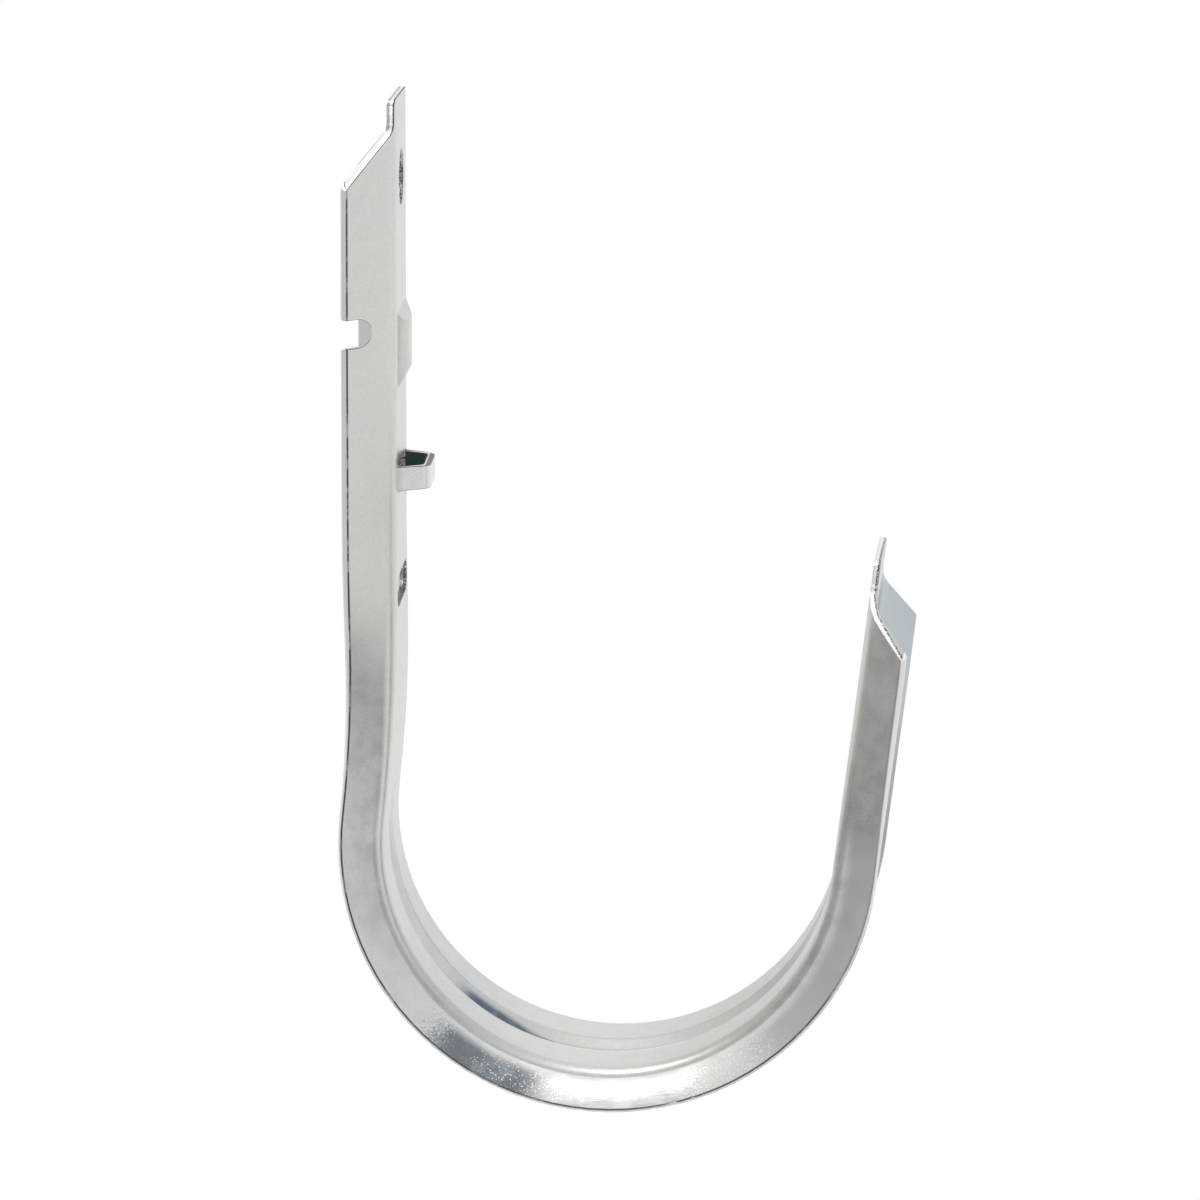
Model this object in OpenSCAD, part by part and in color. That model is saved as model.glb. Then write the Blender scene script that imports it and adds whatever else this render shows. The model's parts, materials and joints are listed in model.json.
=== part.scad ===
// Cable support hook, pressed from one strip of zinc-plated steel sheet.
// The strip is a channel all the way: a web that faces the cables and two
// flanges that turn away from them. It runs down a flat shank, round a saddle
// and up a short leg that leans outwards.
// Frame: millimetres, +Z up. The origin is the centre of the mounting hole on
// the face of the web that the cables are on, and the cables lie on the +X side.

/* [Sheet] */
// Thickness of the steel sheet
sheet_t = 0.8; // [0.6:0.1:1]
// Width of the hook across its two free edges
hook_w = 25.4; // [22:0.2:32]
// Rounding of the free edges on the face towards the cables
edge_r = 0.5; // [0.2:0.1:0.5]

/* [Saddle] */
// Radius of the saddle on the face that carries the cables
saddle_r = 25.9; // [20:0.1:50]
// Depth of the channel in the saddle
saddle_depth = 5.2; // [4.6:0.1:7.5]
// Angle by which a flange turns away from the web there
saddle_turn = 84; // [70:1:86]
// Radius of that bend on the face towards the cables
saddle_bend_r = 1.4; // [1.2:0.1:2.6]

/* [Leg] */
// Length of the leg from the saddle to its end
leg_len = 36.7; // [34:0.1:50]
// Angle by which the leg leans outwards
leg_lean = 7.2; // [4:0.2:15]
// Depth of the channel at the end of the leg
leg_depth = 5.3; // [4.6:0.1:7.5]
// Angle by which a flange turns away from the web there
leg_turn = 52; // [46:1:60]
// Radius of that bend on the face towards the cables
leg_bend_r = 2.8; // [1.6:0.1:3]
// Length of the leg over which its section changes
leg_change = 22; // [12:1:24]

/* [Shank] */
// Height of the mounting hole above the axis of the saddle
shank_rise = 75.9; // [66:0.1:110]
// Depth of the channel in the shank
shank_depth = 6; // [5:0.1:7.5]
// Angle by which a flange turns away from the web there
shank_turn = 47; // [44:1:60]
// Radius of that bend on the face towards the cables
shank_bend_r = 2.8; // [1.6:0.1:3]
// Step of the shank inwards from the side of the saddle
joggle = 1.35; // [0.8:0.05:1.6]
// Slope of the strip in the middle of that step
joggle_slope = 6.5; // [5.5:0.5:8]
// Height above the saddle axis where the shank starts to change its section
blend_rise = 38; // [32:0.5:39]

/* [Groove] */
// Depth of the groove along the middle of the saddle
groove_depth = 1; // [0.6:0.1:1.4]
// Width of the floor of the groove
groove_floor_w = 2.4; // [1.6:0.1:4]
// Width of each side wall of the groove
groove_wall_w = 2; // [1.6:0.1:3]
// Height above the saddle axis where the groove begins in the shank
groove_rise = 6; // [2:0.5:12]
// Angle past the shank's side of the saddle where the groove is fully deep
groove_start = 10; // [6:1:20]
// Angle below the leg's side of the saddle where the groove starts to fade
groove_stop = 22; // [16:1:30]

/* [End outlines] */
// Width of the straight end edge of the strip
end_w = 15.2; // [12:0.2:17]
// Rounding of the corners of the end edge
end_r = 1; // [0.5:0.1:1.9]
// Radius between a straight side of the end and the slanted cut
neck_r = 1.8; // [1:0.1:2]
// Height of the shank's end above the mounting hole
shank_end = 9.8; // [8:0.1:12]
// Length of the straight sides at the end of the shank
shank_neck = 3.4; // [2.8:0.1:4.4]
// Length of the whole end outline of the shank
shank_trim = 10.2; // [8:0.1:12]
// Angle by which the shank's end is cut out of square
shank_skew = 3.6; // [0:0.2:6]
// Length of the straight sides at the end of the leg
leg_neck = 3.3; // [2.8:0.1:5]
// Length of the whole end outline of the leg
leg_trim = 10.2; // [8:0.1:12]

/* [Mounting hole] */
// Diameter of the mounting hole
hole_d = 6.35; // [4.5:0.05:8]

/* [Notches] */
// Depth of the notches' middle below the mounting hole
notch_drop = 16.3; // [14:0.1:20]
// Height of a notch
notch_h = 3.3; // [2.4:0.1:4]
// Depth of a notch from the free edge
notch_depth = 3.4; // [2.6:0.1:3.8]
// Rounding of the inner corners of a notch, up to half of its height
notch_r = 1.6; // [0.8:0.1:1.6]
// Rounding of the corners at the mouth of a notch
mouth_r = 0.5; // [0.2:0.1:0.8]

/* [Pad] */
// Depth of the pad's middle below the mounting hole
pad_drop = 19.3; // [17:0.1:22]
// Height of the pad, with its slopes
pad_h = 8.6; // [7:0.1:12]
// Width of the pad
pad_w = 11.4; // [9:0.1:12]
// How far the middle of the pad stands towards the cables
pad_rise = 1.15; // [0.8:0.05:1.4]
// Height of the slopes above and below the pad
pad_slope = 1.7; // [1:0.1:2]

/* [Tie bridge] */
// Depth of the bridge's middle below the mounting hole
bridge_drop = 34.3; // [31:0.1:36]
// Height of the bridge strap
bridge_h = 2.7; // [2:0.1:4]
// How far the bridge stands towards the cables
bridge_rise = 3.6; // [2.8:0.1:5]
// Width of the bridge where it leaves the web
bridge_w = 12; // [10:0.2:12.6]
// Width of the front of the bridge
bridge_front_w = 7.6; // [6:0.2:9]
// Rounding of the bridge's front corners
bridge_r = 1.9; // [1.2:0.1:2]
// Gap between the bridge and the web above and below it
bridge_gap = 0.2; // [0.1:0.05:0.4]

/* [Tie slot] */
// Depth of the slot's middle below the mounting hole
slot_drop = 47.5; // [44:0.1:52]
// Length of the slot across the web
slot_w = 13.5; // [9:0.1:14]
// Height of the slot
slot_h = 3.6; // [2.4:0.1:4.6]

/* [Hidden] */

$fn = 96;
over = 2;                // how far a cut runs past what it cuts
bend_steps = 5;          // straight steps in a bend
wall_steps = 4;          // straight steps in a side wall of the groove
edge_steps = 2;          // straight steps in a rounded free edge
corner_steps = 8;        // straight steps in a rounded corner of an outline
rise_step = 2;           // spacing of sections along the straight shank
lead_steps = 6;          // sections along the arc that leads into the saddle
arc_step = 4;            // spacing of sections along the saddle, in degrees
zinc = [0.80, 0.81, 0.82];

// The saddle's axis, and the arc that leads from the shank into the saddle.
axis_x = saddle_r - joggle;
axis_z = -shank_rise;
lead_r = joggle / (1 - cos(joggle_slope)) - saddle_r;
lead_z = axis_z + (saddle_r + lead_r) * sin(joggle_slope);
blend_z = axis_z + blend_rise;
saddle_from = 180 + groove_start;
saddle_to = 360 - groove_stop;
leg_angle = 360 - leg_lean;

// A section is [turn, bend radius, depth, depth of the groove].
shank_section = [shank_turn, shank_bend_r, shank_depth, 0];
saddle_section = [saddle_turn, saddle_bend_r, saddle_depth, groove_depth];
plain_section = [saddle_turn, saddle_bend_r, saddle_depth, 0];
leg_section = [leg_turn, leg_bend_r, leg_depth, 0];

function unit(v) = v / norm(v);
function turned(v, a) = [v.x * cos(a) - v.y * sin(a), v.x * sin(a) + v.y * cos(a)];
function mirrored(points) = [for (p = points) [-p.x, p.y]];
function reversed(points) = [for (i = [len(points) - 1:-1:0]) points[i]];
function smooth(x) = let (c = min(max(x, 0), 1)) c * c * (3 - 2 * c);
function mix(a, b, x) = a + (b - a) * x;

// One corner of an outline, as an arc of radius r in the corner a-b-c.
function corner(a, b, c, r) =
    let (u = unit(a - b),
         w = unit(c - b),
         half = acos(u * w) / 2,
         centre = b + unit(u + w) * r / sin(half),
         first = b + u * r / tan(half) - centre,
         way = -sign(u.x * w.y - u.y * w.x),
         turn = way * (180 - 2 * half))
    [for (i = [0:corner_steps]) centre + turned(first, turn * i / corner_steps)];

// A closed outline with each corner rounded by its own radius; 0 is sharp.
function outline(points, radii) =
    let (n = len(points))
    [for (i = [0:n - 1])
        each radii[i] == 0 ? [points[i]]
            : corner(points[(i + n - 1) % n], points[i], points[(i + 1) % n], radii[i])];

// --- the channel's section: x across the strip, y away from the cables ---

// The corner of the free edge before it is rounded. The hook's width is
// measured across the two rounded edges.
function free_corner(s) =
    [hook_w / 2 + edge_r * (sin(s[0]) + cos(s[0]) - 1), s[2] - sheet_t * cos(s[0])];

// Half-width of the flat web, so that the flange ends at the free corner.
function web_half(s) =
    let (straight = (free_corner(s).y - s[1] * (1 - cos(s[0]))) / sin(s[0]))
    free_corner(s).x - s[1] * sin(s[0]) - straight * cos(s[0]);

// One half of the groove, from its floor to the web, moved out by lift.
function groove_half(s, lift) =
    [for (i = [0:wall_steps])
        let (x = i / wall_steps,
             slope = -6 * x * (1 - x) * s[3] / groove_wall_w,
             p = [groove_floor_w / 2 + x * groove_wall_w, s[3] * (1 - smooth(x))])
        p + lift * unit([-slope, 1])];

// A bend, from the web to the flange, on the face that lies lift deep.
function bend_half(s, lift) =
    [for (i = [0:bend_steps])
        let (a = s[0] * i / bend_steps)
        [web_half(s), s[1]] + (s[1] - lift) * [sin(a), -cos(a)]];

// The rounded free edge of a flange.
function edge_half(s) =
    let (along = [cos(s[0]), sin(s[0])],
         into = [-sin(s[0]), cos(s[0])],
         centre = free_corner(s) + edge_r * (into - along))
    [for (i = [0:edge_steps])
        let (a = 90 * i / edge_steps)
        centre + edge_r * (sin(a) * along - cos(a) * into)];

function back_corner(s) = free_corner(s) + sheet_t * [-sin(s[0]), cos(s[0])];

// The whole section, once round.
function section(s) =
    let (front = concat(groove_half(s, 0), bend_half(s, 0), edge_half(s)),
         back = concat(groove_half(s, sheet_t), bend_half(s, sheet_t), [back_corner(s)]))
    concat(reversed(mirrored(front)), front, reversed(back), mirrored(back));

// --- the strip's path and how its section changes along it ---

// A place on the path is [x, z, angle of the direction away from the cables].
function on_shank(z) = [0, z, 180];
function on_lead(a) = [-lead_r * (1 - cos(a)), lead_z - lead_r * sin(a), 180 - a];
function on_saddle(a) = [axis_x + saddle_r * cos(a), axis_z + saddle_r * sin(a), a];
function on_leg(l) = on_saddle(leg_angle) + [l * sin(leg_lean), l * cos(leg_lean), 0];

// A station is [place, section]. Down the shank the section widens into the
// saddle's, the strip steps outwards, and the groove sinks in at the end.
function shank_stations() =
    let (start = 180 - joggle_slope,
         steps = ceil((saddle_from - start) / arc_step),
         straight = [for (z = [blend_z:-rise_step:lead_z + rise_step / 2]) on_shank(z)],
         lead = [for (i = [0:lead_steps - 1]) on_lead(joggle_slope * i / lead_steps)],
         round = [for (i = [0:steps]) on_saddle(mix(start, saddle_from, i / steps))],
         wide_z = on_saddle(start).y,
         groove_z = axis_z + groove_rise,
         deep_z = on_saddle(saddle_from).y)
    [[on_shank(shank_end + over), shank_section],
     for (place = concat(straight, lead, round))
        let (widen = smooth((blend_z - place.y) / (blend_z - wide_z)),
             sink = smooth((groove_z - place.y) / (groove_z - deep_z)),
             s = mix(shank_section, plain_section, widen))
        [place, [s[0], s[1], s[2], groove_depth * sink]]];

function saddle_stations() =
    let (steps = ceil((saddle_to - saddle_from) / arc_step))
    [for (i = [1:steps]) [on_saddle(mix(saddle_from, saddle_to, i / steps)), saddle_section]];

// The groove fades out before the straight leg begins. Then the flanges open
// out again, as they do in the shank.
function leg_stations() =
    let (steps = ceil((leg_angle - saddle_to) / arc_step),
         changes = ceil(leg_change / rise_step))
    [for (i = [1:steps])
        [on_saddle(mix(saddle_to, leg_angle, i / steps)),
         mix(saddle_section, plain_section, smooth(i / steps))],
     for (i = [1:changes])
        [on_leg(leg_change * i / changes),
         mix(plain_section, leg_section, smooth(i / changes))],
     [on_leg(leg_len + over), leg_section]];

// The points of a station's section, at its place.
function placed(station) =
    let (place = station[0])
    [for (p = section(station[1]))
        [place.x + p.y * cos(place.z), p.x, place.y + p.y * sin(place.z)]];

// The end faces of a loft: one face between each pair of front and back points
// of each half, and one that closes the middle.
function end_faces(ring) =
    let (front = wall_steps + bend_steps + edge_steps + 3,
         back = wall_steps + bend_steps + 3,
         right = [for (i = [0:front - 1]) front + i],
         left = [for (i = [0:front - 1]) front - 1 - i],
         right_back = [for (i = [0:back - 1]) 2 * front + back - 1 - i],
         left_back = [for (i = [0:back - 1]) 2 * front + back + i],
         last = back - 2)
    [for (face = concat(
        [for (k = [0:last - 1]) [right[k + 1], right[k], right_back[k], right_back[k + 1]]],
        [for (k = [0:last - 1]) [left[k], left[k + 1], left_back[k + 1], left_back[k]]],
        [concat([right_back[last], right_back[last + 1]],
                [for (k = [front - 1:-1:last]) right[k]])],
        [concat([left_back[last + 1], left_back[last]],
                [for (k = [last:front - 1]) left[k]])],
        [[right[0], left[0], left_back[0], right_back[0]]]))
        [for (i = face) ring + i]];

module loft(rings) {
    n = len(rings[0]);
    last = (len(rings) - 1) * n;
    points = [for (ring = rings) each ring];
    sides = [for (k = [0:len(rings) - 2], i = [0:n - 1])
        let (j = (i + 1) % n,
             near = [k * n + i, k * n + j],
             far = [(k + 1) * n + i, (k + 1) * n + j])
        each i < n / 2 ? [[near[0], near[1], far[1]], [near[0], far[1], far[0]]]
            : [[near[0], near[1], far[0]], [near[1], far[1], far[0]]]];
    polyhedron(points, concat(sides, end_faces(0), [for (face = end_faces(last)) reversed(face)]));
}

module strip() {
    loft([for (station = concat(shank_stations(), saddle_stations(), leg_stations()))
        placed(station)]);
}

// Children are placed at the end of the leg, with z along the leg.
module at_leg_end() {
    end = on_leg(leg_len);
    translate([end.x, 0, end.y])
        rotate([0, leg_lean, 0])
            children();
}

// --- what is cut from the strip and pressed into it ---

// What is cut off an end of the strip, with z = 0 on its end edge. The whole
// outline is skewed by the angle skew.
module end_cut(neck, trim, skew) {
    half = hook_w / 2;
    slant = (trim - neck) / (half - end_w / 2);
    side = outline(
        [[0, 0], [end_w / 2, 0], [end_w / 2, -neck],
         [half + over, -trim - over * slant], [half + over, 2 * over]],
        [0, end_r, neck_r, 0, 0]);
    whole = concat(side, reversed(mirrored([for (p = side) if (p.x > 0) p])));
    rotate([90, 0, 90])
        linear_extrude(4 * shank_depth, center = true)
            polygon([for (p = whole) p - [0, p.x * tan(skew)]]);
}

module mounting_hole() {
    rotate([0, 90, 0])
        cylinder(h = 4 * over, d = hole_d, center = true);
}

// One cut across both flanges makes the two notches.
module notches() {
    mouth = -shank_depth - edge_r / 5;
    deep = notch_depth - shank_depth;
    h = notch_h / 2;
    lip = h + 2 * mouth_r;
    inner_r = min(notch_r, 0.97 * h);
    translate([0, 0, -notch_drop])
        rotate([90, 0, 0])
            linear_extrude(hook_w + 2 * over, center = true)
                polygon(outline(
                    [[mouth - over, -lip], [mouth, -lip], [mouth, -h], [deep, -h],
                     [deep, h], [mouth, h], [mouth, lip], [mouth - over, lip]],
                    [0, 0, mouth_r, inner_r, inner_r, mouth_r, 0, 0]));
}

// A block with the pad's outline: crowned across the strip, as part of a round
// bar, with a slope above and below.
module pad_block() {
    bar_r = (pad_w * pad_w / 4 + pad_rise * pad_rise) / (2 * pad_rise);
    intersection() {
        rotate([90, 0, 0])
            linear_extrude(pad_w, center = true)
                polygon([[-sheet_t / 2, pad_h / 2], [-sheet_t / 2, -pad_h / 2], [0, -pad_h / 2],
                         [pad_rise, pad_slope - pad_h / 2], [pad_rise, pad_h / 2 - pad_slope],
                         [0, pad_h / 2]]);
        translate([pad_rise - bar_r, 0, 0])
            cylinder(h = pad_h + over, r = bar_r, center = true);
    }
}

module pad() {
    translate([0, 0, -pad_drop])
        pad_block();
}

module pad_recess() {
    translate([-sheet_t, 0, -pad_drop])
        pad_block();
}

// The strap of the tie bridge, seen from above, and the room inside it.
module bridge_outline(inset) {
    rake = (bridge_w - bridge_front_w) / 2 / bridge_rise;
    root = bridge_w / 2 - inset * sqrt(1 + rake * rake);
    front = bridge_rise - inset;
    tip = root - front * rake;
    back = -sheet_t - inset;
    polygon(outline([[back, -root], [0, -root], [front, -tip], [front, tip], [0, root], [back, root]],
                    [0, 0, bridge_r - inset, bridge_r - inset, 0, 0]));
}

module bridge() {
    translate([0, 0, -bridge_drop])
        linear_extrude(bridge_h, center = true)
            difference() {
                bridge_outline(0);
                bridge_outline(sheet_t);
            }
}

// The strap is slit from the web above and below, so it leaves a window.
module bridge_window() {
    reach = bridge_w - sheet_t;
    translate([0, 0, -bridge_drop])
        cube([4 * sheet_t, reach, bridge_h + 2 * bridge_gap], center = true);
}

module tie_slot() {
    translate([0, 0, -slot_drop])
        rotate([0, 90, 0])
            linear_extrude(4 * over, center = true) {
                square([slot_h, slot_w - slot_h], center = true);
                for (side = [-1, 1])
                    translate([0, side * (slot_w - slot_h) / 2])
                        circle(d = slot_h);
            }
}

module j_hook() {
    color(zinc)
        union() {
            difference() {
                union() {
                    strip();
                    pad();
                }
                translate([0, 0, shank_end])
                    end_cut(shank_neck, shank_trim, shank_skew);
                at_leg_end()
                    end_cut(leg_neck, leg_trim, 0);
                mounting_hole();
                notches();
                pad_recess();
                bridge_window();
                tie_slot();
            }
            bridge();
        }
}

j_hook();
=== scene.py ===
# %% [markdown]
# # A pressed steel cable hook
#
# This lesson finishes a cable hook that was modelled in CAD. The real hook is
# one strip of zinc-plated steel, pressed into a channel and rolled into a J.
# CAD holds its true sizes. Blender gives it soft edges, a metal finish, light
# and a camera. All lengths are in metres, in the CAD model's own frame: the
# origin is the centre of the mounting hole, +Z is up and +X leads to the leg.

# %% Load the CAD model
import json
import math

import bpy
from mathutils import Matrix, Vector
from mathutils.kdtree import KDTree

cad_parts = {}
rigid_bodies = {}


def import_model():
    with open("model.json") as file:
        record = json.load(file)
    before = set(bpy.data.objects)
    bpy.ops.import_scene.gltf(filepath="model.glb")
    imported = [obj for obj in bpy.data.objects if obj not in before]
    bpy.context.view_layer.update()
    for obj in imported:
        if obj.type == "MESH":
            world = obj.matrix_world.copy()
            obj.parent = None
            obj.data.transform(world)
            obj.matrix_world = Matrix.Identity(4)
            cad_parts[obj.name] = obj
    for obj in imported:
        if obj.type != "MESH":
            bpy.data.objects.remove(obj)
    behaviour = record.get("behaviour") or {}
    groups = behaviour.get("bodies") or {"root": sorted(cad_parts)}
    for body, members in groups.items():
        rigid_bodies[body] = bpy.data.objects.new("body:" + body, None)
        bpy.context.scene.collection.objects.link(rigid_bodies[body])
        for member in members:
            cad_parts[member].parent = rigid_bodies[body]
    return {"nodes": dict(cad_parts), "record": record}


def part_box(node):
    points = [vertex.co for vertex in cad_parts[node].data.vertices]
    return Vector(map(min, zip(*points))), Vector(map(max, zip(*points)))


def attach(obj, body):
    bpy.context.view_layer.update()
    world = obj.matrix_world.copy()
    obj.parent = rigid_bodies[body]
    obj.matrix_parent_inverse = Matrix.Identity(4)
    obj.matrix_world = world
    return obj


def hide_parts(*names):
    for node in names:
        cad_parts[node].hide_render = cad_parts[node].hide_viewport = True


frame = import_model()
bpy.ops.object.select_all(action="DESELECT")
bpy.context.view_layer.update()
low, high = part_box("j_hook")
print("hook, mm:", [round(1000 * side, 1) for side in high - low])

# %% [markdown]
# ## The camera
#
# A long lens from far away keeps the sides of the J nearly parallel. The
# camera looks slightly down and a little from the leg's side, so that the
# strip's cable face shows as a thin bright band.

# %% Place the camera
AZIMUTH = math.radians(3.7)
ELEVATION = math.radians(11.3)
DISTANCE = 1.716
AIM = Vector((0.02368, -0.0127, -0.0467))

away = Vector((
    math.sin(AZIMUTH) * math.cos(ELEVATION),
    -math.cos(AZIMUTH) * math.cos(ELEVATION),
    math.sin(ELEVATION),
))
bpy.ops.object.camera_add(location=AIM + DISTANCE * away)
camera = bpy.context.object
camera.name = "camera"
camera.rotation_euler = (-away).to_track_quat("-Z", "Y").to_euler()
camera.data.lens = 450
camera.data.sensor_width = 36
camera.data.clip_end = 20
bpy.context.scene.camera = camera
print("camera distance, m:", DISTANCE)

# %% [markdown]
# ## The strip
#
# The CAD mesh is loose triangles. A copy of it is merged into one skin, so
# that its cut edges can be softened: a press leaves every edge slightly
# rolled over, and that thin roll is what catches the light. Modelling the
# strip again from a plane would only risk its sizes, so the copy is kept.

# %% Copy and merge the strip
SAME_PLACE = 0.000008     # corners closer than this are one
SAME_PLANE = math.radians(0.2)
cad = frame["nodes"]["j_hook"]
cad.select_set(True)
bpy.context.view_layer.objects.active = cad
bpy.ops.object.duplicate()
hook = bpy.context.object
hook.name = "pressed_hook"
bpy.ops.object.parent_clear(type="CLEAR_KEEP_TRANSFORM")
bpy.ops.mesh.customdata_custom_splitnormals_clear()
bpy.ops.object.mode_set(mode="EDIT")
bpy.ops.mesh.select_all(action="SELECT")
bpy.ops.mesh.remove_doubles(threshold=SAME_PLACE)
bpy.ops.mesh.dissolve_limited(angle_limit=SAME_PLANE)
bpy.ops.object.mode_set(mode="OBJECT")
print("merged faces:", len(hook.data.polygons))

# %% [markdown]
# ## Where the steel was cut
#
# Rolled steel is smooth, but where a press shears it the metal tears: a cut
# face is bright and rough, and a dark ragged line runs beside it. The finish
# has to know where those faces are. They could be painted by hand, but the
# strip's own shape tells them apart: a sheared face stands square to the
# direction in which the channel is deep. So that direction comes first.

# %% Find the saddle's axis in the record
openings = {box["name"]: box["box_m"] for box in frame["record"]["physics"]["openings"]}
saddle_low, saddle_high = openings["saddle_middle"]
AXIS_X = (saddle_low[0] + saddle_high[0]) / 2
AXIS_Z = openings["saddle_top"][0][2]
LEG_LEAN = math.radians(7.2)
print("saddle axis, mm:", round(1000 * AXIS_X, 2), round(1000 * AXIS_Z, 2))


# %% Say which way the channel is deep
def depth_way(place):
    """The direction away from the cables, at a place on the strip."""
    if place.z > AXIS_Z and place.x < AXIS_X:
        return Vector((-1, 0, 0))
    angle = min(math.atan2(place.z - AXIS_Z, place.x - AXIS_X), -LEG_LEAN)
    return Vector((math.cos(angle), 0, math.sin(angle)))


print("depth in the shank:", list(depth_way(Vector((0, 0, 0)))))

# %% Tell the cut faces apart
CUT_FLOOR = -0.0545       # nothing is cut across the strip below this
NEARLY_SQUARE = 0.12      # the most that a sheared face leans out of square
NOTCH_Z = -0.0163         # the middle of the side notches
NOTCH_HALF = 0.0018
NOTCH_X = -0.0015         # the notches lie behind this
NOTCH_LEAN = 0.2
WALL_HALF = 0.0072        # the holes lie within this of the middle
WALL_TOP = 0.004
WEB = (-0.001, 0.0001)    # the web's back and front, with a little room


def is_sheared(face):
    """Whether the press cut this face through the sheet."""
    if face.center.z < CUT_FLOOR:
        return False
    if abs(face.center.z - NOTCH_Z) < NOTCH_HALF and face.center.x < NOTCH_X:
        return abs(face.normal.y) < NOTCH_LEAN
    return abs(face.normal.dot(depth_way(face.center))) < NEARLY_SQUARE


def is_wall(face):
    """Whether a sheared face is the wall of a hole, deep in the web."""
    inside = abs(face.center.y) < WALL_HALF and WEB[0] < face.center.x < WEB[1]
    return is_sheared(face) and inside and face.center.z < WALL_TOP


print("sheared faces:", sum(1 for face in hook.data.polygons if is_sheared(face)))

# %% [markdown]
# ## Numbers stored in the skin
#
# The dark lines lie a fixed distance from an edge, so each corner of the mesh stores how far it is
# from that edge, and the finish can draw a line at any distance. There are two kinds of edge. The
# rim is where a sheared face meets the channel's outer skin. The heel is the sharp inner corner
# along the slit sides, whose outer corner is rolled over; the dark line beside it is a painted dark
# reflection.

# %% Sort the faces along each edge
SLIT_HALF = 0.0115        # the slit sides lie further out than this
SLIT_OUT = 0.02           # the least that a slit side faces outward
SLIT_DEEP = 0.6           # and the least that it faces along the depth
INSIDE = -0.5             # the inside of a flange faces the middle by this much
SKIN = -0.3               # the outer skin faces the cables by this much
mesh = hook.data
faces_by_edge = {}
for face in mesh.polygons:
    for key in face.edge_keys:
        faces_by_edge.setdefault(key, []).append(face)


def is_slit(face):
    """Whether a face is the flat part of a slit side."""
    outward = face.normal.y * math.copysign(1, face.center.y)
    return outward > SLIT_OUT and face.normal.dot(depth_way(face.center)) > SLIT_DEEP


def is_inner(face):
    """Whether a face is the inside of a flange."""
    return face.normal.y * math.copysign(1, face.center.y) < INSIDE


def edge_kind(first, second):
    """Rim, heel or nothing."""
    for one, other in ((first, second), (second, first)):
        if is_sheared(one) and other.normal.dot(depth_way(other.center)) < SKIN:
            return "rim"
        if abs(one.center.y) > SLIT_HALF and is_slit(one) and is_inner(other):
            return "heel"
    return None


print("edges:", len(faces_by_edge))

# %% Set points along the rims and the heels
HARD_TURN = math.radians(50)
SPACING = 0.0002
points = {"rim": [], "heel": []}
for (start, end), pair in faces_by_edge.items():
    if len(pair) == 2 and pair[0].normal.angle(pair[1].normal) > HARD_TURN:
        kind = edge_kind(*pair)
        if kind:
            a, b = mesh.vertices[start].co, mesh.vertices[end].co
            steps = max(1, math.ceil((b - a).length / SPACING))
            points[kind] += [a.lerp(b, i / steps) for i in range(steps + 1)]
print({kind: len(found) for kind, found in points.items()})

# %% Mark the walls and the loop of the tie bridge for painted shade, and the cut faces
LOOP = (Vector((-0.0010, -0.0052, -0.0358)), Vector((0.0031, 0.0052, -0.0328)))
LOOKS_BACK = -0.2


def in_loop(face):
    """Whether a face looks into the loop of the tie bridge."""
    within = all(a <= c <= b for a, c, b in zip(LOOP[0], face.center, LOOP[1]))
    return within and face.normal.x < LOOKS_BACK


marks = {
    "cut": lambda face: is_sheared(face) and not is_wall(face),
    "wall": is_wall,
    "loop": in_loop,
}
for name, test in marks.items():
    layer = mesh.attributes.new(name, "FLOAT", "FACE")
    for face in mesh.polygons:
        layer.data[face.index].value = float(test(face))
    print(name, "faces:", sum(1 for value in layer.data if value.value > 0.5))

# %% [markdown]
# ## Soft edges
#
# A press rolls each cut edge over a little, and that thin roll catches the
# light. A bevel on every sharp edge would fold over itself at the shortest
# ones, so only edges with enough room round them are given a bevel weight.

# %% Choose the edges to soften
SHORTEST = 0.00015        # the shortest edge that can be softened
SHARP = math.radians(60)
edges_at = {}
for key in faces_by_edge:
    for corner in key:
        edges_at.setdefault(corner, []).append(key)


def length(key):
    """How long an edge is."""
    return (mesh.vertices[key[1]].co - mesh.vertices[key[0]].co).length


def is_sharp(key):
    """Whether the skin turns hard over an edge."""
    pair = faces_by_edge[key]
    return len(pair) == 2 and pair[0].normal.angle(pair[1].normal) > SHARP


def has_room(key):
    """Whether a sharp edge and all that meet it are long enough to soften."""
    around = edges_at[key[0]] + edges_at[key[1]]
    return is_sharp(key) and length(key) > SHORTEST and all(
        length(other) > (SHORTEST if is_sharp(other) else SHORTEST / 2) for other in around)


weights = mesh.attributes.new("bevel_weight_edge", "FLOAT", "EDGE")
for edge in mesh.edges:
    weights.data[edge.index].value = float(has_room(tuple(edge.key)))
print("edges to soften:", sum(1 for weight in weights.data if weight.value > 0.5))

# %% Soften them
ROLL = 0.00006            # how far an edge is rolled over
SLIVER = 0.000002         # what the roll leaves shorter than this is closed up
SMOOTH = math.radians(40)
bevel = hook.modifiers.new("rolled_edges", "BEVEL")
bevel.width = ROLL
bevel.segments = 2
bevel.limit_method = "WEIGHT"
bevel.use_clamp_overlap = False
bpy.ops.object.modifier_apply(modifier=bevel.name)
bpy.ops.object.mode_set(mode="EDIT")
bpy.ops.mesh.select_all(action="SELECT")
bpy.ops.mesh.remove_doubles(threshold=SLIVER)
bpy.ops.object.mode_set(mode="OBJECT")
bpy.ops.object.shade_smooth_by_angle(angle=SMOOTH)
weighted = hook.modifiers.new("flat_faces_lead", "WEIGHTED_NORMAL")
weighted.keep_sharp = True
bpy.ops.object.modifier_apply(modifier=weighted.name)
print("softened faces:", len(hook.data.polygons))

# %% [markdown]
# ## How far each corner is from a cut edge
#
# The roll adds new corners, so the distances are measured only now, from the
# points that were set before it. Skin that faces another way would pick up a
# wrong line, so there the distance is set to one that no line uses.

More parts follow.
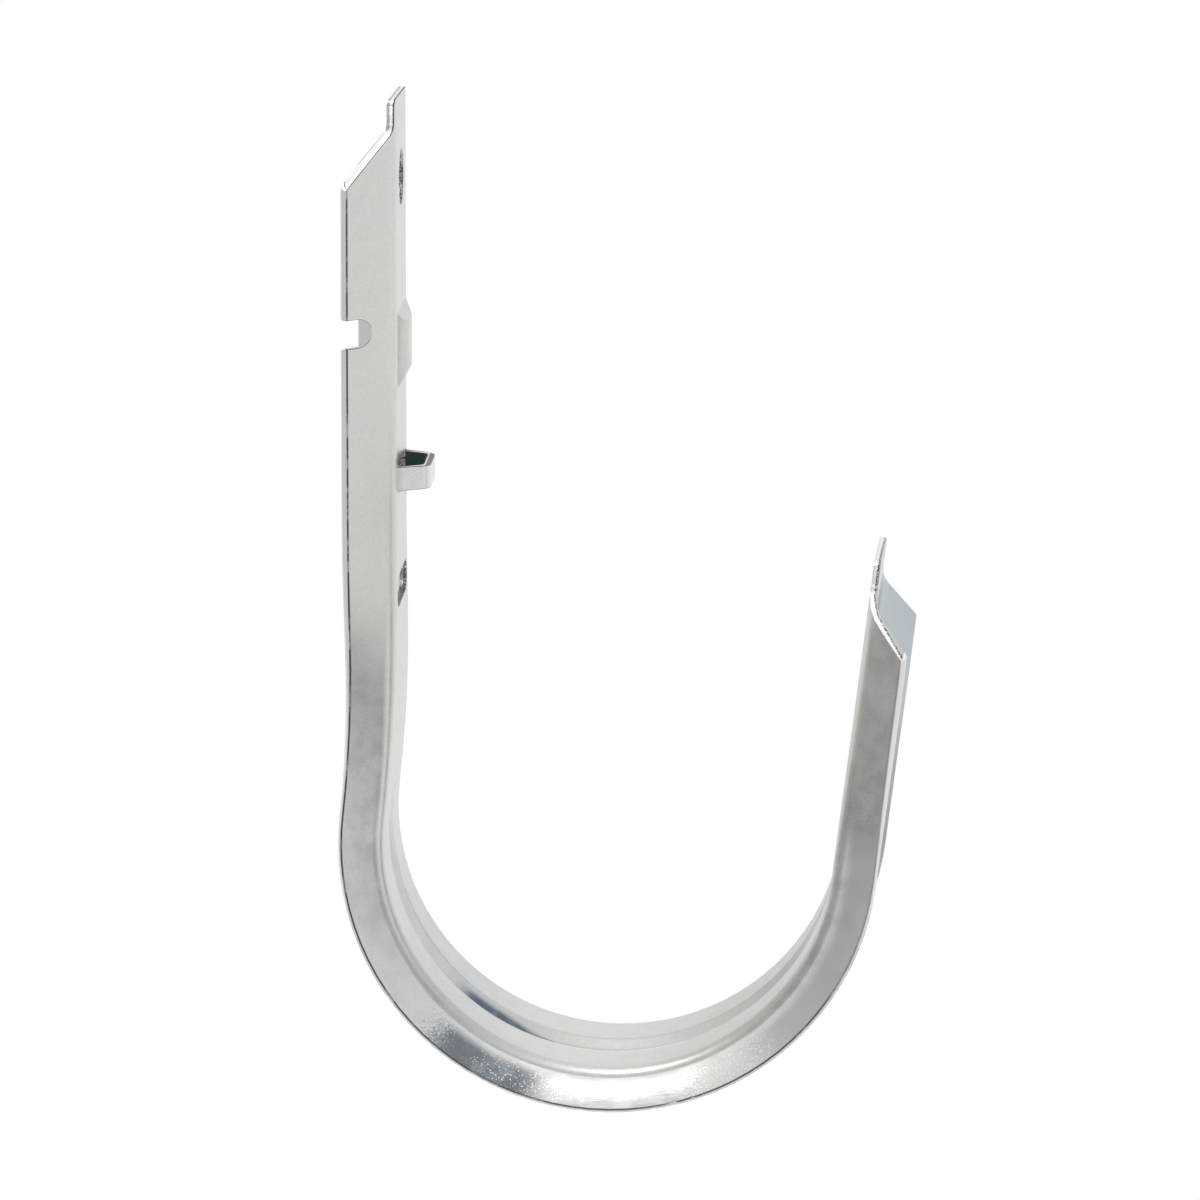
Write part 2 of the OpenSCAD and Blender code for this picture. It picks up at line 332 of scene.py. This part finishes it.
# %% Store the distance from the rims and the heels
FAR = 0.01                # stands for "not near this edge"
STRIP = 0.0001            # the softened strips are narrower than this
mesh = hook.data


def is_strip(face):
    """Whether a face is one of the narrow strips that soften an edge."""
    corners = [mesh.vertices[index].co for index in face.vertices]
    sides = [(b - a).length for a, b in zip(corners, corners[1:] + corners[:1])]
    return len(corners) < 5 and min(sides) < STRIP


for kind, found in points.items():
    tree = KDTree(len(found))
    for index, point in enumerate(found):
        tree.insert(point, index)
    tree.balance()
    layer = mesh.attributes.new("from_" + kind, "FLOAT", "CORNER")
    for face in mesh.polygons:
        if kind == "heel":
            hidden = is_inner(face)
        else:
            hidden = not is_strip(face) and not is_sheared(face)
        for index in face.loop_indices:
            near = tree.find(mesh.vertices[mesh.loops[index].vertex_index].co)[2]
            layer.data[index].value = FAR if hidden else near
print("corners:", len(mesh.loops))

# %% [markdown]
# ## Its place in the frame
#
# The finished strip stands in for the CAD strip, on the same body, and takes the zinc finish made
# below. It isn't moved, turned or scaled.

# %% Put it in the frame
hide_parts("j_hook")
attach(hook, "root")
print("in the frame:", hook.name)

# %% [markdown]
# ## The zinc finish
#
# Bright zinc plating is a metal with a satin grain. Its colour drifts: cool
# blue where the passivation is thick, warm grey elsewhere. The grain is a
# fine bump, the drift is slow noise. Both read Object coordinates, so they
# stay on the strip however it is lit or seen.


# %% Helpers for materials
def add_node(tree, kind, **values):
    """A node of this kind, with its inputs set by name."""
    node = tree.nodes.new(kind)
    for name, value in values.items():
        node.inputs[name.replace("_", " ")].default_value = value
    return node


def noise(tree, place, scale, detail, roughness=0.55):
    """Noise between 0 and 1, at so many features a metre."""
    node = add_node(tree, "ShaderNodeTexNoise", Scale=scale, Detail=detail, Roughness=roughness)
    tree.links.new(place, node.inputs["Vector"])
    return node.outputs["Fac"]


def ramp(tree, value, start, end, low_out=0.0, high_out=1.0):
    """A smooth step from low_out to high_out."""
    node = tree.nodes.new("ShaderNodeMapRange")
    node.interpolation_type = "SMOOTHSTEP"
    tree.links.new(value, node.inputs["Value"])
    for name, number in zip(("From Min", "From Max", "To Min", "To Max"),
                            (start, end, low_out, high_out)):
        node.inputs[name].default_value = number
    return node.outputs["Result"]


def math_node(tree, operation, first, second):
    """Two values or sockets joined by one operation."""
    node = tree.nodes.new("ShaderNodeMath")
    node.operation = operation
    for socket, value in zip(node.inputs, (first, second)):
        if isinstance(value, (int, float)):
            socket.default_value = value
        else:
            tree.links.new(value, socket)
    return node.outputs["Value"]


def mix_colour(tree, factor, first, second):
    """One colour or socket laid over another."""
    first_in, second_in, colour_out = 6, 7, 2     # the node's sockets for colours
    node = tree.nodes.new("ShaderNodeMix")
    node.data_type = "RGBA"
    tree.links.new(factor, node.inputs["Factor"])
    for socket, value in zip((node.inputs[first_in], node.inputs[second_in]), (first, second)):
        if isinstance(value, tuple):
            socket.default_value = (*value, 1)
        else:
            tree.links.new(value, socket)
    return node.outputs[colour_out]


def attribute(tree, name):
    """A number that is stored in the mesh."""
    node = tree.nodes.new("ShaderNodeAttribute")
    node.attribute_name = name
    return node.outputs["Fac"]


# %% Begin the zinc
zinc = bpy.data.materials.new("zinc_plated_steel")
zinc.use_nodes = True
tree = zinc.node_tree
shader = tree.nodes["Principled BSDF"]
place = tree.nodes.new("ShaderNodeTexCoord").outputs["Object"]
grain = noise(tree, place, 5200, 2)
cloud = noise(tree, place, 520, 4)
drift = noise(tree, place, 60, 2)
split = tree.nodes.new("ShaderNodeSeparateXYZ")
tree.links.new(place, split.inputs["Vector"])
along_x, along_y, along_z = (split.outputs[axis] for axis in "XYZ")
half = math_node(tree, "ABSOLUTE", along_y, 0.0)
print("first zinc nodes:", len(tree.nodes))

# %% Polar places in the saddle
across = math_node(tree, "SUBTRACT", along_x, AXIS_X)
down = math_node(tree, "SUBTRACT", AXIS_Z, along_z)
saddle_angle = math_node(tree, "ARCTAN2", across, down)
squares = [math_node(tree, "MULTIPLY", side, side) for side in (across, down)]
saddle_radius = math_node(tree, "SQRT", math_node(tree, "ADD", *squares), 0.0)


def saddle_patch(centre, half_width, soft, ragged=0.0):
    """A mask round an angle, in degrees from the saddle's lowest point."""
    shifted = math_node(tree, "SUBTRACT", saddle_angle, math.radians(centre))
    far = math_node(tree, "ABSOLUTE", shifted, 0.0)
    if ragged:
        either_way = math_node(tree, "SUBTRACT", grain, 0.5)
        rough = math_node(tree, "MULTIPLY", either_way, math.radians(ragged))
        far = math_node(tree, "ADD", far, rough)
    return ramp(tree, far, math.radians(half_width + soft), math.radians(half_width))


def product(*factors):
    """Masks multiplied together."""
    result = factors[0]
    for factor in factors[1:]:
        result = math_node(tree, "MULTIPLY", result, factor)
    return result


def line(distance, start, end, soft=0.00004):
    """A mask that is 1 between two distances."""
    rising = ramp(tree, distance, start - soft, start + soft)
    return product(rising, ramp(tree, distance, end + soft, end - soft))


# %% [markdown]
# ## Colour drift
#
# The plating is warm grey with pinkish parts, and cooler on the side of the
# saddle next to the shank. Flat colours would look like paint, so slow noise
# leads from one to the next, and fine noise darkens the hollows of the grain.

# %% Warm, pink and cool
WARM = (0.800, 0.778, 0.742)
PINK = (0.800, 0.765, 0.760)
COOL = (0.745, 0.770, 0.785)
colour = mix_colour(tree, ramp(tree, drift, 0.45, 0.65, 0.0, 0.5), WARM, PINK)
clouded = ramp(tree, cloud, 0.52, 0.75, 0.0, 0.35)
cool_side = math_node(tree, "MAXIMUM", saddle_patch(-65, 20, 35), clouded)
colour = mix_colour(tree, cool_side, colour, COOL)
print("drift nodes:", len(tree.nodes))

# %% The leg's far flange with its painted reflection, the mottled flanges and the tie bridge
LEG_REFLECTION_BLUE = (0.56, 0.635, 0.69)
MOTTLE_GREY = (0.60, 0.615, 0.575)
TIE_PALE = (0.93, 0.91, 0.90)
TIE_BOTTOM, TIE_TOP = -0.0368, -0.0317
HOLLOW_GREY = (0.56, 0.57, 0.57)
# Painted dark reflection: the inside of the leg's far flange is painted a darker blue.
far_leg = product(
    ramp(tree, along_y, 0.002, 0.012),
    ramp(tree, along_x, 0.044, 0.058),
    ramp(tree, along_z, -0.082, -0.055))
colour = mix_colour(tree, far_leg, colour, LEG_REFLECTION_BLUE)
mottle = product(
    ramp(tree, cloud, 0.58, 0.38),
    ramp(tree, half, 0.0085, 0.0100),
    ramp(tree, along_x, 0.035, 0.050, 0.18, 0.45))
colour = mix_colour(tree, mottle, colour, MOTTLE_GREY)
tie = product(
    ramp(tree, along_x, 0.0002, 0.0006),
    line(along_z, TIE_BOTTOM, TIE_TOP),
    ramp(tree, half, 0.0075, 0.0070))
colour = mix_colour(tree, tie, colour, TIE_PALE)
hollows = ramp(tree, grain, 0.60, 0.34, 0.0, 0.30)
colour = mix_colour(tree, hollows, colour, HOLLOW_GREY)
print("nodes with mottle:", len(tree.nodes))

# %% [markdown]
# ## The painted reflections in the saddle
#
# The saddle's near flange carries painted reflections. Left of its lowest point a dark blue patch
# with flecks is a painted dark reflection, and right of it a smoky grey patch is a painted darker
# reflection. At the lowest point the flange is painted near white, a painted highlight, with
# painted glints round it, and it is a little glossier there. A mask could be painted, but three
# numbers place it: the angle round the saddle's axis, the distance from that axis, and the side of
# the strip.

# %% Painted reflections, highlight and glints in the saddle
DARK_REFLECTION_BLUE = (0.20, 0.225, 0.25)
DARK_REFLECTION_GREY = (0.52, 0.515, 0.495)
HIGHLIGHT_WHITE = (0.97, 0.97, 0.96)
GLINT_WHITE = (0.95, 0.95, 0.95)
near_side = ramp(tree, along_y, -0.0100, -0.0112)
flange = product(near_side, ramp(tree, saddle_radius, 0.0270, 0.0284))
# Painted dark reflection: a dark blue patch with flecks on the near flange, left of the saddle's
# bottom.
painted_dark_reflection = product(flange, saddle_patch(-29, 9, 8, ragged=16), ramp(tree, cloud, 0.25, 0.6, 0.75, 1.0))
colour = mix_colour(tree, painted_dark_reflection, colour, DARK_REFLECTION_BLUE)
# Painted darker reflection: a smoky grey patch on the near flange, right of the saddle's bottom.
painted_grey_reflection = product(flange, saddle_patch(68, 22, 18, ragged=12))
colour = mix_colour(tree, painted_grey_reflection, colour, DARK_REFLECTION_GREY)
# Painted highlight: the near flange is painted near white round the saddle's bottom, where it is
# also given less roughness.
highlight_and_gloss = product(flange, saddle_patch(3.5, 12, 9, ragged=22))
colour = mix_colour(tree, highlight_and_gloss, colour, HIGHLIGHT_WHITE)
# Painted glints: fine bright flecks on the near flange round the saddle's bottom.
painted_glints = product(flange, saddle_patch(3, 28, 14), ramp(tree, grain, 0.60, 0.66))
colour = mix_colour(tree, painted_glints, colour, GLINT_WHITE)
print("nodes with the stain:", len(tree.nodes))

# %% [markdown]
# ## The painted reflections in the groove
#
# A painted dark reflection lies along the groove's floor and its far wall, and narrows toward the
# saddle's bottom. The groove's near crease carries a painted highlight there. Both follow the
# groove, so a ramp over the angle sets how wide the dark patch is, and a line at one distance
# across the strip draws the crease.

# %% The painted dark reflection and the painted highlight on the crease beside it
GROOVE_REFLECTION_BLUE = (0.15, 0.20, 0.27)
CREASE_HIGHLIGHT = (0.99, 0.99, 0.99)
FLOOR_EDGE = (-0.0014, -0.0010)
front = ramp(tree, saddle_radius, 0.0276, 0.0272)
groove_reflection_end = ramp(tree, saddle_angle, math.radians(-32), math.radians(-5), 0.0024, 0.0006)
past_end = math_node(tree, "SUBTRACT", along_y, groove_reflection_end)
# Painted dark reflection: a dark blue patch along the groove's floor and far wall, on the shank's
# side of the saddle.
painted_groove_reflection = product(
    front,
    saddle_patch(-23, 14, 8),
    ramp(tree, along_y, *FLOOR_EDGE),
    ramp(tree, past_end, 0.0003, -0.0005),
    ramp(tree, cloud, 0.25, 0.55, 0.7, 1.0))
colour = mix_colour(tree, painted_groove_reflection, colour, GROOVE_REFLECTION_BLUE)
# Painted highlight: a bright speckled line along the groove's near crease at the saddle's bottom.
painted_crease_highlight = product(
    front,
    saddle_patch(0, 14, 6),
    line(along_y, -0.0036, -0.0031),
    ramp(tree, grain, 0.45, 0.52))
colour = mix_colour(tree, painted_crease_highlight, colour, CREASE_HIGHLIGHT)
print("nodes with the smear:", len(tree.nodes))

# %% [markdown]
# ## Cut faces and ragged lines
#
# A shear leaves a dark line where the skin tore, a bright band, and a duller band below it. The
# stored distances place them. Fine noise breaks up the fracture line between the two bands. The
# slit sides have a rolled lip painted pale, a painted highlight, with a dark line beside it that is
# a painted dark reflection. The walls of the holes are deep and rough, and their dark colour is
# painted shade.

# %% The sheared faces
BRIGHT = (0.96, 0.96, 0.955)
DULL = (0.50, 0.505, 0.50)
FRACTURE = (0.10, 0.10, 0.09)
from_rim = attribute(tree, "from_rim")
cut = attribute(tree, "cut")
bands = mix_colour(tree, ramp(tree, from_rim, 0.00048, 0.00060), BRIGHT, DULL)
colour = mix_colour(tree, cut, colour, bands)
fracture = product(
    cut,
    line(from_rim, 0.00044, 0.00066),
    ramp(tree, grain, 0.56, 0.46),
    ramp(tree, along_x, 0.020, 0.045, 0.25, 1.0))
colour = mix_colour(tree, fracture, colour, FRACTURE)
print("nodes with sheared faces:", len(tree.nodes))

# %% The dark lines and the rolled lip, with painted dark reflection and painted highlight
LIP_HIGHLIGHT = (0.97, 0.96, 0.945)
SADDLE_LIP = (0.66, 0.655, 0.645)
DARK_LINE = (0.11, 0.10, 0.095)
from_heel = attribute(tree, "from_heel")
broken = ramp(tree, cloud, 0.36, 0.52, 0.45, 1.0)
rim_line = product(line(from_rim, 0.00000, 0.00019), ramp(tree, along_x, 0.020, 0.045, 1.0, 0.15))
# Painted dark reflection: the dark line beside the rolled lip of the slit sides, and the dark line
# on the lip in the saddle.
heel_line = product(
    line(from_heel, 0.00074, 0.00090),
    broken,
    ramp(tree, along_x, 0.048, 0.055, 1.0, 0.25))
in_saddle = ramp(tree, along_z, -0.080, -0.090)
under_line = product(line(from_heel, 0.00024, 0.00042), in_saddle, broken)
side_lines = math_node(tree, "MAXIMUM", rim_line, heel_line)
dark = math_node(tree, "MAXIMUM", side_lines, under_line)
# Painted highlight: the rolled lip is painted pale, greyer in the saddle.
lip = ramp(tree, from_heel, 0.00080, 0.00072)
lip_highlight_colour = mix_colour(tree, in_saddle, LIP_HIGHLIGHT, SADDLE_LIP)
colour = mix_colour(tree, lip, colour, lip_highlight_colour)
colour = mix_colour(tree, dark, colour, DARK_LINE)
print("nodes with torn lines:", len(tree.nodes))

# %% Painted shade in the walls of the holes and in the loop of the tie bridge
WALL_SHADE_DARK = (0.12, 0.12, 0.11)
WALL_PALE = (0.62, 0.62, 0.59)
LOOP_SHADE_GREEN = (0.05, 0.09, 0.08)
# Painted shade: the walls of the holes are painted dark, flecked paler by the grain.
wall_shade_colour = mix_colour(tree, ramp(tree, grain, 0.40, 0.62), WALL_SHADE_DARK, WALL_PALE)
colour = mix_colour(tree, attribute(tree, "wall"), colour, wall_shade_colour)
# Painted shade: faces that look into the tie bridge's loop are painted dark green.
colour = mix_colour(tree, attribute(tree, "loop"), colour, LOOP_SHADE_GREEN)
tree.links.new(colour, shader.inputs["Base Color"])
print("nodes with walls:", len(tree.nodes))

# %% [markdown]
# ## Gloss and grain
#
# Satin plating blurs what it mirrors, a little more in some places than in others, and least at the
# saddle's bottom, under the painted highlight. The rolled lip is only partly metal here: full metal
# would mirror the dim room and lose its pale edge, which is a painted highlight. The grain is a
# bump, because it is far too fine to model.

# %% Roughness, metal and bump
LIP_METAL = 0.35
GLOSS_GAIN = 0.15
satin = ramp(tree, cloud, 0.30, 0.75, 0.30, 0.38)
gloss = math_node(tree, "SUBTRACT", satin, math_node(tree, "MULTIPLY", highlight_and_gloss, GLOSS_GAIN))
tree.links.new(gloss, shader.inputs["Roughness"])
tree.links.new(ramp(tree, lip, 0.0, 1.0, 1.0, LIP_METAL), shader.inputs["Metallic"])
bump = add_node(tree, "ShaderNodeBump", Strength=0.35, Distance=0.00002)
tree.links.new(grain, bump.inputs["Height"])
tree.links.new(bump.outputs["Normal"], shader.inputs["Normal"])
hook.data.materials.clear()
hook.data.materials.append(zinc)
print("zinc nodes:", len(tree.nodes))

# %% [markdown]
# ## The studio
#
# Metal shows its surroundings, so the studio matters as much as the finish. It
# has a floor, a world and two lamps. The floor is a pale disc of paper well
# below the hook, where it catches a faint shadow. It glows a little, so that it
# doesn't show as a grey disc in the picture or in the metal.

# %% Floor
FLOOR_DROP = 0.08
FLOOR_RADIUS = 0.26
FLOOR_GLOW = 0.45
bpy.ops.mesh.primitive_circle_add(
    vertices=96, radius=FLOOR_RADIUS, fill_type="NGON",
    location=(AXIS_X, 0, low.z - FLOOR_DROP))
floor = bpy.context.object
floor.name = "floor"
paper = bpy.data.materials.new("white_paper")
paper.use_nodes = True
sheet = paper.node_tree
paint = sheet.nodes["Principled BSDF"]
paint.inputs["Base Color"].default_value = (0.9, 0.9, 0.9, 1)
paint.inputs["Roughness"].default_value = 0.9
rays = sheet.nodes.new("ShaderNodeLightPath").outputs
seen = math_node(sheet, "MAXIMUM", rays["Is Camera Ray"], rays["Is Glossy Ray"])
seen = math_node(sheet, "MAXIMUM", seen, rays["Is Transmission Ray"])
floor_glow = math_node(sheet, "MULTIPLY", seen, FLOOR_GLOW)
glow = sheet.nodes.new("ShaderNodeEmission")
sheet.links.new(floor_glow, glow.inputs["Strength"])
total = sheet.nodes.new("ShaderNodeAddShader")
sheet.links.new(paint.outputs["BSDF"], total.inputs[0])
sheet.links.new(glow.outputs["Emission"], total.inputs[1])
sheet.links.new(total.outputs["Shader"], sheet.nodes["Material Output"].inputs["Surface"])
floor.data.materials.append(paper)
print("floor, m below the hook:", FLOOR_DROP)

# %% [markdown]
# ## The room round the hook
#
# The room is a dim world with soft bright panels: one behind, one on the right,
# one on the left, two overhead, and two weaker ones that fill the gaps between
# them. Area lamps could stand for them, but their hard edges would show in the
# metal. Seen straight by the camera the world is plain white.

# %% World
world = bpy.data.worlds.new("studio")
bpy.context.scene.world = world
world.use_nodes = True
room = world.node_tree
way = room.nodes.new("ShaderNodeTexCoord").outputs["Generated"]


def panel(toward, inner, outer, strength):
    """Light from a soft round panel: full within one angle, gone past another."""
    dot = room.nodes.new("ShaderNodeVectorMath")
    dot.operation = "DOT_PRODUCT"
    room.links.new(way, dot.inputs[0])
    dot.inputs[1].default_value = Vector(toward).normalized()
    full, gone = math.cos(math.radians(inner)), math.cos(math.radians(outer))
    return ramp(room, dot.outputs["Value"], gone, full, 0.0, strength)


print("world:", world.name)

# %% Panels
DIM = 0.36
PANELS = (                # direction, inner and outer angle, strength
    ((0.05, 1, -0.35), 12, 52, 0.56),
    ((1, 0.1, -0.15), 20, 60, 0.48),
    ((-1, 0.45, -0.2), 15, 38, 0.50),
    ((0, 0.25, 1), 30, 80, 0.34),
    ((-0.06, 0.09, 1), 6, 28, 0.3),
    ((0, 0.8, 0.6), 5, 30, 0.18),
    ((0, -0.75, 0.65), 12, 42, 0.30),
)
strength = DIM
for toward, inner, outer, power in PANELS:
    strength = math_node(room, "ADD", strength, panel(toward, inner, outer, power))
direct = room.nodes.new("ShaderNodeLightPath").outputs["Is Camera Ray"]
pick = room.nodes.new("ShaderNodeMix")        # its sockets 2 and 3 take plain numbers
room.links.new(direct, pick.inputs["Factor"])
room.links.new(strength, pick.inputs[2])
pick.inputs[3].default_value = 1.0
room.links.new(pick.outputs[0], room.nodes["Background"].inputs["Strength"])
room.nodes["Background"].inputs["Color"].default_value = (1, 1, 1, 1)
print("panels:", len(PANELS))

# %% [markdown]
# ## Two lamps
#
# A small lamp in front lights the glossy patch at the saddle's bottom, which also has a painted
# highlight, and a large one overhead lays a shadow on the floor.


# %% Lights
def soft_box(name, azimuth, elevation, distance, size, power):
    """A square lamp that faces the hook, placed by its direction from it."""
    turn = math.radians(azimuth)
    up = math.radians(elevation)
    middle = (low + high) / 2
    toward = Vector((
        math.sin(turn) * math.cos(up),
        -math.cos(turn) * math.cos(up),
        math.sin(up),
    ))
    bpy.ops.object.light_add(type="AREA", location=middle + distance * toward)
    lamp = bpy.context.object
    lamp.name = name
    lamp.data.size = size
    lamp.data.energy = power
    lamp.visible_camera = False
    lamp.rotation_euler = (-toward).to_track_quat("-Z", "Y").to_euler()


soft_box("front_box", azimuth=-3.6, elevation=0.7, distance=1.2, size=0.13, power=0.60)
soft_box("top_box", azimuth=-30, elevation=65, distance=1.2, size=0.6, power=2)

# %% [markdown]
# ## Finish
#
# The plain view transform keeps white paper white.

# %% View
bpy.context.scene.view_settings.view_transform = "Standard"
